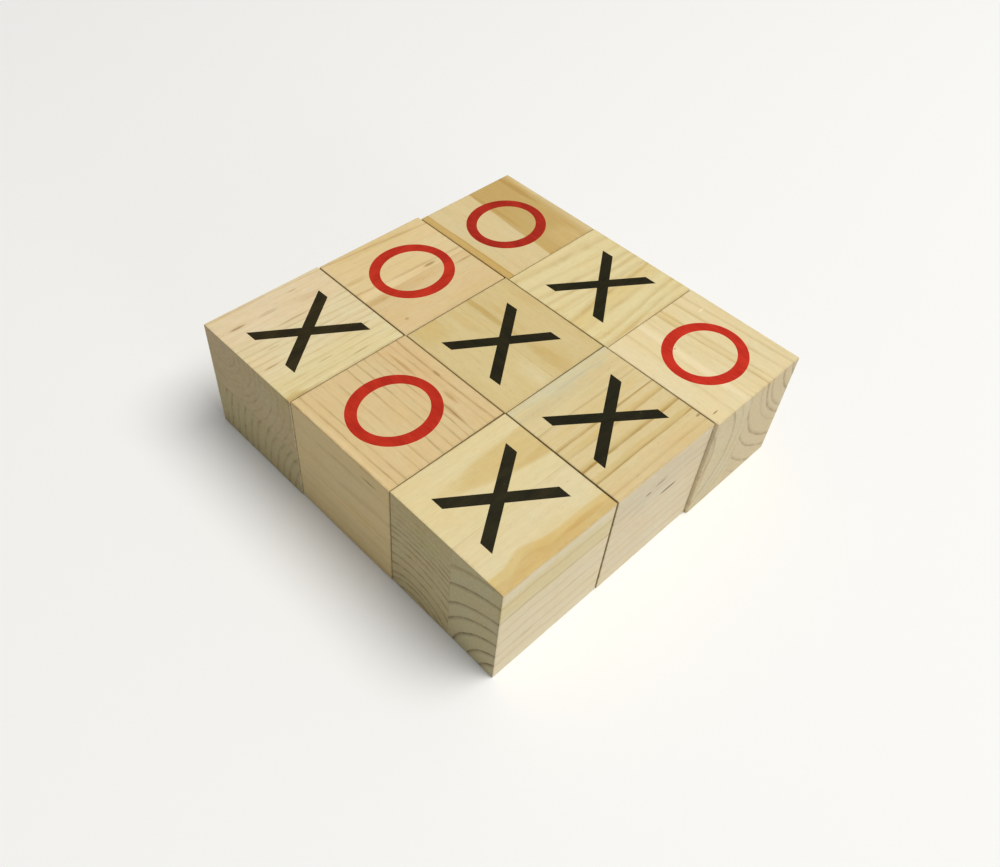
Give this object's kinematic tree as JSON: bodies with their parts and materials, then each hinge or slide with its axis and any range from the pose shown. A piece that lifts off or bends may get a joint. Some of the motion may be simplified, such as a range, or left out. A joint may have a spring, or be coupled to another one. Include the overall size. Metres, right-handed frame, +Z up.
{
  "type": "giant tic tac toe set",
  "caption": "Giant tic tac toe set of laminated pine cubes laid in a square grid, with a black cross or a red nought printed flush on opposite faces.",
  "frame": {"origin": "on the table, under the middle of the centre cube", "axes": "+Z up out of the cubes' tops, +X along the front row from left to right, +Y from the front row to the back row"},
  "size_m": [0.2745, 0.2729, 0.09],
  "materials": {
    "pine_cream": "pale clear-grained pine, sanded and left unvarnished",
    "pine_straw": "straw-coloured pine with darker growth rings, sanded and left unvarnished",
    "pine_rose": "pinkish heartwood pine, sanded and left unvarnished",
    "black_paint": "thin matt black paint soaked into the wood",
    "red_paint": "thin matt red paint soaked into the wood"
  },
  "bodies": {
    "centre_cube": {"centre_front_board": "pine_cream", "centre_back_board": "pine_straw", "centre_top_cross": "black_paint", "centre_underside_nought": "red_paint"},
    "front_left_cube": {"front_left_lower_board": "pine_straw", "front_left_upper_board": "pine_straw", "front_left_top_cross": "black_paint", "front_left_underside_nought": "red_paint"},
    "front_centre_cube": {"front_centre_lower_board": "pine_straw", "front_centre_upper_board": "pine_rose", "front_centre_top_nought": "red_paint", "front_centre_underside_cross": "black_paint"},
    "front_right_cube": {"front_right_left_board": "pine_cream", "front_right_right_board": "pine_straw", "front_right_top_cross": "black_paint", "front_right_underside_nought": "red_paint"},
    "middle_left_cube": {"middle_left_left_board": "pine_rose", "middle_left_right_board": "pine_cream", "middle_left_top_nought": "red_paint", "middle_left_underside_cross": "black_paint"},
    "middle_right_cube": {"middle_right_left_board": "pine_cream", "middle_right_right_board": "pine_straw", "middle_right_top_cross": "black_paint", "middle_right_underside_nought": "red_paint"},
    "back_left_cube": {"back_left_lower_board": "pine_straw", "back_left_upper_board": "pine_straw", "back_left_top_nought": "red_paint", "back_left_underside_cross": "black_paint"},
    "back_centre_cube": {"back_centre_left_board": "pine_straw", "back_centre_right_board": "pine_straw", "back_centre_top_cross": "black_paint", "back_centre_underside_nought": "red_paint"},
    "back_right_cube": {"back_right_front_board": "pine_cream", "back_right_back_board": "pine_cream", "back_right_top_nought": "red_paint", "back_right_underside_cross": "black_paint"}
  },
  "joints": [
    {"name": "front_left_lift", "type": "slide", "parent": "centre_cube", "child": "front_left_cube", "axis": [0, 0, 1], "range_m": [0, 0.12]},
    {"name": "front_centre_lift", "type": "slide", "parent": "centre_cube", "child": "front_centre_cube", "axis": [0, 0, 1], "range_m": [0, 0.12]},
    {"name": "front_right_lift", "type": "slide", "parent": "centre_cube", "child": "front_right_cube", "axis": [0, 0, 1], "range_m": [0, 0.12]},
    {"name": "middle_left_lift", "type": "slide", "parent": "centre_cube", "child": "middle_left_cube", "axis": [0, 0, 1], "range_m": [0, 0.12]},
    {"name": "middle_right_lift", "type": "slide", "parent": "centre_cube", "child": "middle_right_cube", "axis": [0, 0, 1], "range_m": [0, 0.12]},
    {"name": "back_left_lift", "type": "slide", "parent": "centre_cube", "child": "back_left_cube", "axis": [0, 0, 1], "range_m": [0, 0.12]},
    {"name": "back_centre_lift", "type": "slide", "parent": "centre_cube", "child": "back_centre_cube", "axis": [0, 0, 1], "range_m": [0, 0.12]},
    {"name": "back_right_lift", "type": "slide", "parent": "centre_cube", "child": "back_right_cube", "axis": [0, 0, 1], "range_m": [0, 0.12]}
  ]
}
